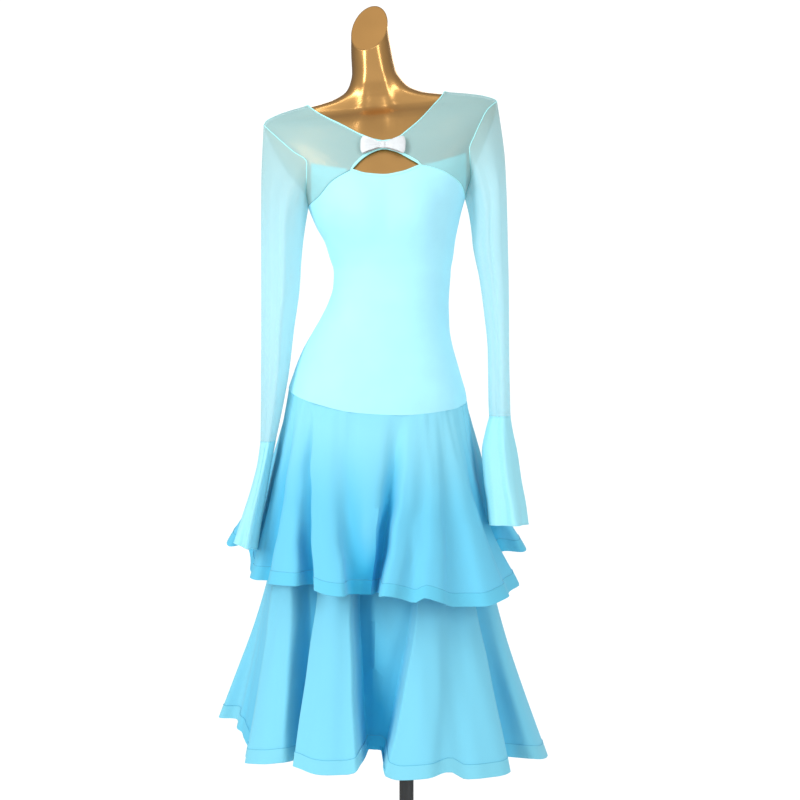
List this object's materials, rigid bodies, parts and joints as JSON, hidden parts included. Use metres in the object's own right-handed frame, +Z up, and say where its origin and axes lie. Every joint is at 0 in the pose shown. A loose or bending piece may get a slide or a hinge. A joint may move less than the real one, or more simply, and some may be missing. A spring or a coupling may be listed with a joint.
{
  "type": "ballroom dance dress on a limbless dress form with its stand",
  "caption": "Ballroom dress with sheer yoke and sleeves, a keyhole bodice, a bow and a tiered pleated skirt, shown on a limbless form with a pole stand.",
  "frame": {"origin": "middle of the stand base's underside, on the pole's axis", "axes": "+Z up along the pole; the front of the dress faces -Y; +X is the wearer's left"},
  "size_m": [0.5805, 0.515, 1.5523],
  "materials": {
    "gold_lacquer": "glossy gold lacquer",
    "black_enamel": "satin black enamel",
    "aqua_stretch_knit": "smooth stretch knit with a slight sheen",
    "aqua_sheer_mesh": "fine sheer stretch mesh",
    "aqua_georgette": "matt georgette",
    "white_satin": "soft satin ribbon"
  },
  "bodies": {
    "root": {"form_body": "gold_lacquer", "stand_base": "black_enamel", "stand_pole": "black_enamel", "yoke_front": "aqua_sheer_mesh", "yoke_back": "aqua_sheer_mesh", "bodice_front": "aqua_stretch_knit", "bodice_back": "aqua_stretch_knit", "underlay_right": "aqua_stretch_knit", "underlay_left": "aqua_stretch_knit", "sleeve_right": "aqua_sheer_mesh", "sleeve_left": "aqua_sheer_mesh", "cuff_right": "aqua_sheer_mesh", "cuff_left": "aqua_sheer_mesh", "neckline_binding": "aqua_stretch_knit", "keyhole_binding": "aqua_stretch_knit", "bow_loop_right": "white_satin", "bow_loop_left": "white_satin", "bow_knot": "white_satin", "skirt_upper_tier": "aqua_georgette", "skirt_lower": "aqua_georgette"}
  },
  "joints": []
}
